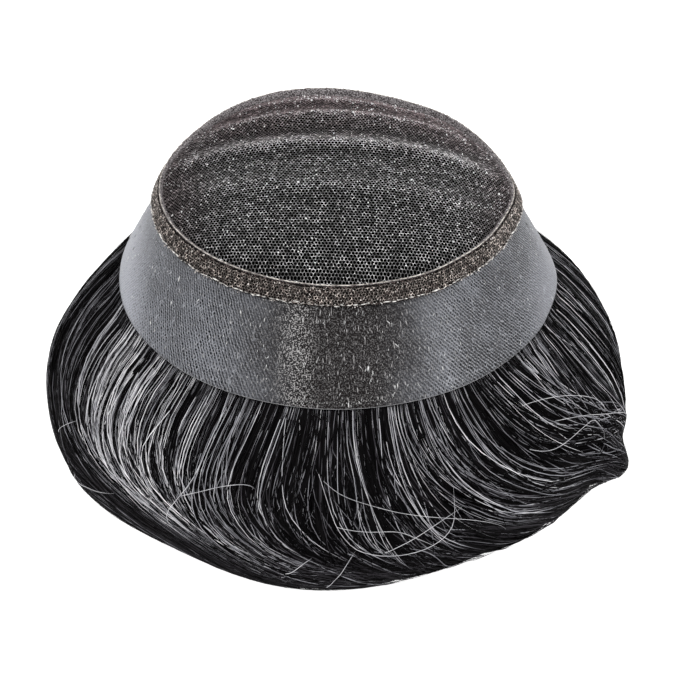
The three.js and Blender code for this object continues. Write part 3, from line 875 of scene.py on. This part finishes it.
makeFilm(film, filmMaterial(film))
makeFilmEdge(film, threadMaterial("filmEdge", (0.35, 0.35, 0.36), (0.6, 0.6, 0.61), 0.3))
makeDashes(film, threadMaterial("filmKnot", (0.14, 0.14, 0.14), (0.6, 0.6, 0.6)))
print("the film skirt is ready")


# The hair: a ridged body and many thousands of strands combed over it.
hair = dict(bodyColumns=400, bodySink=1.9, strands=15500, clumps=520, points=15, parts=4,
            radius=0.115, seed=5, whiteShare=0.04, greyShare=0.125, depth=1.5,
            lowStrands=1500)

def denseRows(rows, count=400):
    along = np.linspace(rows[0, 3], rows[-1, 3], count)
    table = [np.interp(along, rows[:, 3], rows[:, k]) for k in range(3)]
    width = 31
    kernel = np.hanning(width)
    kernel /= kernel.sum()
    soft = []
    for column in table:
        padded = np.concatenate([2 * column[0] - column[width:0:-1], column,
                                 2 * column[-1] - column[-2:-width - 2:-1]])
        soft.append(np.convolve(padded, kernel, "same")[width:-width])
    return along, soft

denseAlong, (denseOut, denseUp, denseRelief) = denseRows(hairRows)

# How the hair lies: a root's angle, then its turn and its place along the comb at eight stations.
guideRows = [
    (22, (0, -0.2, -1, -4, -8, -12, -16, -20), (0, 0.19, 0.37, 0.53, 0.66, 0.77, 0.86, 0.93)),
    (60, (0, 0, -1, -2, -4, -6, -8, -10), (0, 0.18, 0.35, 0.51, 0.65, 0.77, 0.87, 0.94)),
    (100, (0, 0.5, 1, 1.5, 2, 3, 4, 5), (0, 0.18, 0.35, 0.51, 0.65, 0.77, 0.87, 0.94)),
    (140, (0, 1, 3, 6, 10, 15, 21, 28), (0, 0.19, 0.37, 0.53, 0.66, 0.77, 0.86, 0.93)),
    (177, (0, 4, 11, 20, 30, 41, 53, 66), (0, 0.27, 0.46, 0.57, 0.64, 0.71, 0.8, 0.88)),
    (221, (0, -1, 0.5, 5, 12, 21, 31, 42), (0, 0.22, 0.42, 0.58, 0.69, 0.77, 0.82, 0.87)),
    (238, (0, -1.5, -0.5, 3.5, 11, 20, 30, 41), (0, 0.25, 0.47, 0.63, 0.74, 0.8, 0.84, 0.88)),
    (249, (0, -1.2, -1.8, -0.5, 4.5, 12, 21, 31), (0, 0.22, 0.42, 0.58, 0.69, 0.76, 0.81, 0.87)),
    (260, (0, -1.3, -2.6, -2.8, 0, 5, 12, 20), (0, 0.19, 0.36, 0.5, 0.62, 0.72, 0.81, 0.9)),
    (266, (0, -0.4, -1.2, -1.4, 0.2, 4, 9, 15), (0, 0.18, 0.34, 0.49, 0.62, 0.73, 0.83, 0.93)),
    (273, (0, 0, 0.6, 1.8, 3.6, 6.4, 10, 14.5), (0, 0.16, 0.31, 0.46, 0.6, 0.73, 0.84, 0.94)),
    (278.5, (0, -0.1, 0.5, 2, 4.4, 7.6, 11.5, 16), (0, 0.16, 0.31, 0.46, 0.6, 0.72, 0.82, 0.92)),
    (284.5, (0, -0.4, 0.8, 3.8, 8, 13.2, 19, 26), (0, 0.18, 0.35, 0.5, 0.63, 0.73, 0.81, 0.88)),
    (291, (0, 0.6, 2.4, 6, 11, 17.5, 25, 33), (0, 0.18, 0.35, 0.5, 0.61, 0.69, 0.75, 0.81)),
    (302.5, (0, 0.5, 2, 5, 9.5, 15, 21, 28), (0, 0.18, 0.35, 0.5, 0.62, 0.72, 0.79, 0.84)),
    (307.5, (0, 2.5, 6, 10.5, 15.5, 21, 26, 30), (0, 0.2, 0.37, 0.49, 0.57, 0.63, 0.68, 0.73)),
    (318, (0, 2.5, 5.5, 9, 12.5, 16, 19, 22), (0, 0.17, 0.32, 0.44, 0.53, 0.6, 0.66, 0.72)),
    (333, (0, -0.7, -1.4, -1.6, -1, 1, 4, 8), (0, 0.16, 0.3, 0.44, 0.57, 0.69, 0.79, 0.88)),
    (348, (0, 0.4, 0.6, 0.3, -0.8, -2.5, -4.5, -7), (0, 0.16, 0.32, 0.47, 0.61, 0.73, 0.83, 0.91)),
]

def makeGuides(rows):
    stations = np.linspace(0, 1, 8)
    fine = np.linspace(0, 1, 60)
    kernel = np.hanning(13) / np.hanning(13).sum()
    def soften(values):
        dense = np.interp(fine, stations, values)
        padded = np.concatenate([2 * dense[0] - dense[6:0:-1], dense, 2 * dense[-1] - dense[-2:-8:-1]])
        return np.convolve(padded, kernel, "valid")
    roots = np.array([row[0] for row in rows] + [rows[0][0] + 360.0])
    turns = np.array([soften(row[1]) for row in rows] + [soften(rows[0][1])])
    alongs = np.array([soften(row[2]) for row in rows] + [soften(rows[0][2])])
    return fine, roots, turns, alongs

guideStations, guideRoots, guideTurns, guideAlongs = makeGuides(guideRows)

def guided(root, s):
    at = np.mod(root - guideRoots[0], 360) + guideRoots[0]
    low = np.clip(np.searchsorted(guideRoots, at, side="right") - 1, 0, len(guideRoots) - 2)
    share = (at - guideRoots[low]) / (guideRoots[low + 1] - guideRoots[low])
    place = np.clip(s, 0, 1) * (len(guideStations) - 1)
    first = np.minimum(place.astype(int), len(guideStations) - 2)
    part = place - first
    def look(table):
        early = table[low, first] * (1 - part) + table[low, first + 1] * part
        late = table[low + 1, first] * (1 - part) + table[low + 1, first + 1] * part
        return early * (1 - share) + late * share
    return look(guideTurns), look(guideAlongs)

def sweep(degrees, along):
    middle, tip = roundValue("middle", degrees), roundValue("tip", degrees)
    return 4 * middle * along * (1 - along) + tip * along * (2 * along - 1)

def uneven(lock):
    return 1 + 0.22 * np.sin(2.4 * lock) + 0.12 * np.sin(5.3 * lock)

def lockRidge(root):
    place = np.mod(root, 360) / 360 * form["locks"]
    lock = np.floor(place)
    ridge = np.interp(place - lock, lockRows[:, 0], lockRows[:, 1])
    return (ridge - 1) * uneven(lock)

# The loose locks, close to the CAD's: where each starts and ends along the comb, and its size as shares
# of the hair's reach.
looseRows = [
    # at, from, to, lift, breadth, depth
    (336, 0.3, 0.78, 0.02, 0.6, 0.34),
    (314, 0.42, 0.98, 0.2, 0.66, 0.36),
    (50, 0.3, 0.86, 0.04, 0.9, 0.36),
    (98, 0.3, 0.82, 0.04, 0.8, 0.32),
    (140, 0.4, 0.9, 0.04, 0.9, 0.36),
    (196, 0.4, 0.94, 0, 0.9, 0.36),
    (258, 0.4, 0.92, 0, 0.8, 0.32),
    (290, 0.3, 0.84, 0.04, 0.8, 0.34),
]

# How far the loose locks lift the hair off the mass.
def lockLift(angle, along):
    lifted = np.zeros(np.broadcast(angle, along).shape)
    for at, start, end, lift, breadth, depth in looseRows:
        share = (along - start) / (end - start)
        inside = np.clip(share, 0, 1)
        taper = np.sqrt(1 - 0.94 * inside ** 2)
        spread = np.sqrt(1 - 0.55 * inside ** 2)
        reach = reachAt(np.array(float(at)))
        away = np.mod(angle - at - sweep(np.array(float(at)), along) + 180, 360) - 180
        side = np.radians(away) * (form["rimWidth"] + 0.9 * reach) * 0.75 / (0.5 * breadth * reach * spread)
        rounded = np.exp(-1.4 * side ** 2)
        bulge = (0.5 * depth * taper + lift * inside) * rounded - 0.7 * depth * (1 - inside)
        gate = smooth(share / 0.1) * smooth((1.04 - share) / 0.3)
        lifted = np.maximum(lifted, reach * bulge * gate)
    return lifted

# A place in the hair: its angle, how far along the comb, how far off the surface and its lock's ridge.
def combed(angle, along, off, ridge=0.0):
    held = np.clip(along, 0, 1)
    off = off + lockLift(angle, held)
    out = np.interp(held, denseAlong, denseOut)
    up = np.interp(held, denseAlong, denseUp)
    relief = np.interp(held, denseAlong, denseRelief) * form["lockRelief"] * ridge
    reach = reachAt(angle)
    step = 0.01
    dOut = (np.interp(held + step, denseAlong, denseOut)
            - np.interp(held - step, denseAlong, denseOut)) * reach
    dUp = (np.interp(held + step, denseAlong, denseUp)
           - np.interp(held - step, denseAlong, denseUp)) * form["hairDrop"]
    size = np.maximum(np.hypot(dOut, dUp), 1e-6)
    outAll = flareAt(angle) + reach * out + relief - off * dUp / size
    z = form["hairDrop"] * up + off * dOut / size
    return outside(angle, outAll, np.maximum(z, 0.12))

def makeHairBody(h, finish):
    columns = h["bodyColumns"]
    root = np.arange(columns) * 360 / columns
    under = form["filmWall"] + form["gap"]
    lace = 1.0 + 0.05 * form["crownRise"] + form["gap"]
    lining = 3.0
    rings, down = [], []
    def slopeRing(share, past, sink):
        at = slopeLength(root) * share + past
        rings.append(onSlope(root, at, filmFace(root, at) - sink))
    def capRing(share, sink):
        edge = outside(root, -(laceEdge + under + sink - lace), 0.0) * share
        rings.append(np.stack([edge[:, 0], edge[:, 1], rimHeight + domeAt(root, share) - sink], axis=1))
    for share in (0.02, 0.25, 0.5, 0.75, 0.9, 1.0):
        capRing(share, lace)
    slopeRing(0.5, 0, under)
    slopeRing(1, -1.0, under)
    for along in np.linspace(0.0, 1.0, 44):
        sink = h["bodySink"] * smooth(along / 0.15) + 1.6 * (1 - smooth(along / 0.15))
        sink = sink - 1.72 * smooth((along - 0.66) / 0.2)
        ring = combed(root + sweep(root, along), along, -sink, 0.6 * lockRidge(root))
        ring[:, 2] = ring[:, 2] if along < 1 else 0.0
        rings.append(ring)
    for row in insideRows:
        angle = root + sweep(root, row[3])
        rings.append(outside(angle, flareAt(angle) + reachAt(angle) * row[0], form["hairDrop"] * row[1]))
    slopeRing(1, 0, under + lining)
    slopeRing(0.5, 0, under + lining)
    for share in (1.0, 0.75, 0.5, 0.25, 0.02):
        capRing(share, lace + lining)
    piece = addMesh("hair_body", np.concatenate(rings), closedRings(len(rings), columns))
    finishPiece(piece, ("hair_mass",), finish)

# How grey the hair is round the piece: most on the left, where the paler strands are a painted highlight on
# the bend of the hair.
def greyAndHighlightAt(degrees):
    away = (np.mod(degrees - 217 + 180, 360) - 180) / 23
    right = (np.mod(degrees - 335 + 180, 360) - 180) / 24
    return 0.6 + 1.25 * np.exp(-away ** 2) + 0.1 * np.exp(-right ** 2)

# Each strand is a thin strip that lies on the hair, rolled a little to one side.
def addStrips(name, points, outward, thick, roll, tone, finish):
    n, count = points.shape[:2]
    along = np.gradient(points, axis=1)
    along /= np.maximum(np.linalg.norm(along, axis=2, keepdims=True), 1e-9)
    across = np.cross(outward, along)
    across /= np.maximum(np.linalg.norm(across, axis=2, keepdims=True), 1e-9)
    normal = np.cross(along, across)
    width = (across * np.cos(roll)[..., None] + normal * np.sin(roll)[..., None]) * thick[..., None]
    left, right = points - width, points + width
    left[..., 2] = np.maximum(left[..., 2], 0.1)
    right[..., 2] = np.maximum(right[..., 2], 0.1)
    both = np.stack([left, right], axis=2).reshape(-1, 3)
    first = (np.arange(n)[:, None] * count + np.arange(count - 1)[None, :]) * 2
    faces = np.stack([first, first + 2, first + 3, first + 1], axis=-1).reshape(-1, 4)
    piece = addMesh(name, both, faces.tolist(), values=dict(tone=np.repeat(tone.ravel(), 2)))
    finishPiece(piece, (), finish)

# Which way the hair's surface faces at each place.
def outwardAt(points, angle, along, off):
    lower = combed(angle, np.clip(along + 0.01, 0, 1), off) - combed(angle, np.clip(along - 0.01, 0, 1), off)
    return np.cross(lower, combed(angle + 0.5, along, off) - points)

def makeStrands(h, finish):
    rng = np.random.default_rng(h["seed"])
    clumps, n = h["clumps"], h["strands"]
    clumpRoot = (np.arange(clumps) + rng.uniform(-0.5, 0.5, clumps)) * 360 / clumps
    clumpTurn = rng.normal(0, 3.0, clumps)
    clumpLevel = rng.uniform(-1, 1, clumps)
    clumpReach = rng.uniform(0.8, 1.04, clumps)
    clumpWave = rng.uniform(0, 6.28, clumps)
    clumpGrey = rng.lognormal(-0.05, 0.3, clumps)
    front = rng.uniform(0, 1, n) < 0.42
    near = np.where(front, rng.uniform(175, 365, n), rng.uniform(0, 360, n))
    mine = np.mod(np.round(near / 360 * clumps).astype(int), clumps)
    aside = rng.normal(0, 1, n)
    root = clumpRoot[mine] + aside * 0.8
    pick = rng.uniform(0, 1, n)
    lightShare = h["whiteShare"] * greyAndHighlightAt(root) * clumpGrey[mine]
    white = pick < lightShare
    middling = pick < lightShare + h["greyShare"] * (0.5 + 0.7 * greyAndHighlightAt(root)) * clumpGrey[mine]
    tone = np.where(middling, rng.uniform(0.22, 0.6, n), rng.uniform(0, 0.2, n) ** 1.5)
    # White strands within the painted highlight on the left are made paler still.
    tone = np.where(white, rng.uniform(0.5, 0.84, n) + 0.16 * (greyAndHighlightAt(root) > 1.1), tone)
    tone = tone * (1 - 0.25 * np.exp(-((np.mod(root, 360) - 182) / 20) ** 2))
    freed = rng.uniform(0, 1, (n, 1)) < np.where(tone[:, None] > 0.2, 0.42, 0.2)
    wild = rng.normal(0, 1, (n, 1)) * np.where(freed, 6.0, 1.0)
    curl = rng.normal(0, 1, (n, 1)) * np.where(freed, 0.9, 0.25)
    start = np.where(rng.uniform(0, 1, n) < 0.8, 0.0, rng.uniform(0, 0.35, n))
    end = clumpReach[mine] + rng.normal(0, 0.07, n)
    t = np.linspace(0, 1, h["points"])[None, :]
    s = start[:, None] + (end - start)[:, None] * t
    turn, along = guided(np.repeat(clumpRoot[mine][:, None], h["points"], 1), s)
    width = 0.8 * (1 - 0.3 * smooth(s)) + 0.3 * np.sin(clumpWave[mine][:, None] * 3 + s * 5) * s
    wave = 0.8 * np.sin(clumpWave[mine][:, None] + s * 6) * s
    angle = clumpRoot[mine][:, None] + turn * (1 + 0.04 * clumpTurn[mine][:, None]) + aside[:, None] * width \
        + clumpTurn[mine][:, None] * s ** 1.5 + wave + wild * s * np.sin(3.2 * s + 2 * aside[:, None]) \
        + curl * np.sin(9 * s + 5 * aside[:, None]) * smooth(s * 3)
    along = np.clip(along * (1 + 0.03 * clumpLevel[mine][:, None]) + 0.02 * aside[:, None] * s
                    + 0.012 * rng.normal(0, 1, (n, 1)) * s, 0, 1)
    rounding = -0.3 * aside[:, None] ** 2
    deep = -h["depth"] * rng.uniform(0, 1, (n, 1)) ** 1.2
    deep = np.where(middling[:, None], 0.6 * deep, deep)
    deep = np.where(white[:, None], 0.4 * deep + 0.2, deep)
    level = 0.5 * clumpLevel[mine][:, None] * smooth(s * 2) * (1 - 0.7 * smooth((s - 0.6) / 0.3))
    rise = smooth(s / 0.16)
    loose = 0.12 * rng.normal(0, 1, (n, 1)) * np.sin(rng.uniform(0, 6.28, (n, 1)) + s * 4) * s
    off = -1.2 * (1 - rise) + (np.maximum(rounding + deep, -2.0) + level + loose) * rise
    low = smooth((along - 0.72) / 0.16)
    off = off * (1 - 0.75 * low)
    points = combed(angle, along, off)
    outward = outwardAt(points, angle, along, off)
    thin = np.clip((1 - t) * 5, 0.15, 1) * np.clip(0.55 + s * 6, 0, 1)
    thick = h["radius"] * rng.uniform(0.7, 1.25, (n, 1)) * thin
    thick = np.where(tone[:, None] > 0.2, 0.95, 1.25) * thick
    roll = rng.normal(0, 0.5, (n, 1)) + 0 * t
    tones = tone[:, None] * (1 - 0.62 * low * (0.4 + rng.uniform(0, 1, (n, 1))))
    for part, rows in enumerate(np.array_split(np.arange(n), h["parts"])):
        addStrips(f"hair_strands_{part + 1}", points[rows], outward[rows], thick[rows], roll[rows],
                  tones[rows], finish)

# The low layer: darker hair that runs round the foot of the piece, under the tips of the rest.
def makeLowStrands(h, finish):
    rng = np.random.default_rng(h["seed"] + 1)
    n = h["lowStrands"]
    t = np.linspace(0, 1, h["points"])[None, :]
    root = rng.uniform(0, 360, (n, 1))
    turn, _ = guided(root, np.ones((n, 1)))
    angle = root + turn * (0.9 * t ** 1.1 + 0.15) + rng.normal(0, 1.5, (n, 1)) * np.sin(3 * t + root)
    along = np.clip(0.74 + rng.normal(0, 0.04, (n, 1))
                    + (0.2 + rng.normal(0, 0.03, (n, 1))) * smooth(t), 0, 0.99)
    off = 0.12 * rng.normal(0, 1, (n, 1)) - 0.15 - 0.8 * (1 - smooth(t / 0.2)) + 0 * angle
    points = combed(angle, along, off)
    thick = h["radius"] * rng.uniform(0.7, 1.2, (n, 1)) * np.clip((1 - t) * 5, 0.15, 1)
    filmAndSideSheen = rng.uniform(0, 1, (n, 1)) < 0.1
    tone = np.where(filmAndSideSheen, rng.uniform(0.35, 0.6, (n, 1)), rng.uniform(0, 0.3, (n, 1))) + 0 * t
    roll = rng.normal(0, 0.5, (n, 1)) + 0 * t
    addStrips("hair_low", points, outwardAt(points, angle, along, off), thick, roll, tone, finish)

# Long pale hairs that stray over the rest: each passes these places, an angle and a share of the comb.
strayRows = [
    ((267.5, 0.34), (270.5, 0.55), (274, 0.69), (279, 0.73), (285, 0.75),
     (290, 0.72), (292, 0.61), (293, 0.49)),
    ((271, 0.58), (278, 0.62), (282.5, 0.65), (289, 0.78)),
    ((279, 0.73), (285, 0.67), (294, 0.6)),
    ((268.5, 0.37), (272.5, 0.45), (278.5, 0.51), (283.5, 0.57), (292, 0.64), (297, 0.69), (302, 0.78)),
    ((311.5, 0.46), (320.5, 0.53), (329, 0.53), (329.5, 0.64)),
    ((321, 0.42), (332.5, 0.54), (340.5, 0.67)),
    ((315, 0.26), (325.5, 0.34), (333, 0.45), (335, 0.56)),
    ((242, 0.61), (251.5, 0.47), (256, 0.45)),
    ((207, 0.72), (211.5, 0.58)),
    ((216, 0.81), (220, 0.82), (227, 0.77)),
    ((269.5, 0.9), (274, 0.7)),
    ((263, 0.81), (267, 0.73)),
]

def makeStrays(finish):
    count = 28
    points = []
    for row in strayRows:
        places = np.array(row)
        stations = np.linspace(0, 1, len(places))
        fine = np.linspace(0, 1, count)
        power = min(3, len(places) - 1)
        angle = np.polyval(np.polyfit(stations, places[:, 0], min(5, len(places) - 1)), fine)
        along = np.polyval(np.polyfit(stations, places[:, 1], min(5, len(places) - 1)), fine)
        off = 0.4 + 1.4 * np.sin(np.pi * fine) ** (1 / power)
        points.append(combed(angle, along, off))
    thick = np.tile(0.09 * np.clip((1 - np.linspace(0, 1, count)) * 6, 0.3, 1), len(points))
    strays = makeThreads("hair_strays", np.concatenate(points),
                         chainEdges(len(points), count), thick, 4, finish,
                         dict(tone=np.full(len(points) * count, 0.78)))
    finishPiece(strays)

def hairMaterial():
    material, tree, shader = newMaterial("hairStrand", 0.55, 0.02)
    tone = toneOf(tree)
    place = objectPlace(tree)
    fine = noise(tree, place, 160.0, 1.0)
    bright = times(tree, tone, ramp(tree, fine, 0.3, 0.7, 0.88, 1.1))
    ramped = tree.nodes.new("ShaderNodeValToRGB")
    stops = ramped.color_ramp
    stops.elements[0].color = (0.0012, 0.001, 0.0012, 1)
    stops.elements[1].color = (0.82, 0.81, 0.83, 1)
    stops.elements.new(0.12).color = (0.006, 0.0055, 0.006, 1)
    stops.elements.new(0.35).color = (0.045, 0.042, 0.048, 1)
    stops.elements.new(0.6).color = (0.3, 0.3, 0.325, 1)
    tree.links.new(bright, ramped.inputs[0])
    paint(tree, shader, ramped.outputs[0])
    return material

# The body's near-black is the hair's own black and also painted shade for the gaps between the strands.
def bodyMaterial():
    material, tree, shader = newMaterial("hairDepth", 0.8, 0.0)
    place = objectPlace(tree)
    stretched = scaledPlace(tree, place, (1500.0, 1500.0, 120.0))
    strands = noise(tree, stretched, 1.0, 2.0)
    colour = mixColour(tree, ramp(tree, strands, 0.5, 0.75), (0.0004, 0.0004, 0.0004), (0.006, 0.0055, 0.006))
    paint(tree, shader, colour)
    emboss(tree, shader, strands, 0.5, 0.0003)
    return material

hairFinish = hairMaterial()
makeHairBody(hair, bodyMaterial())
makeStrands(hair, hairFinish)
makeLowStrands(hair, hairFinish)
makeStrays(hairFinish)
print("the hair is ready")
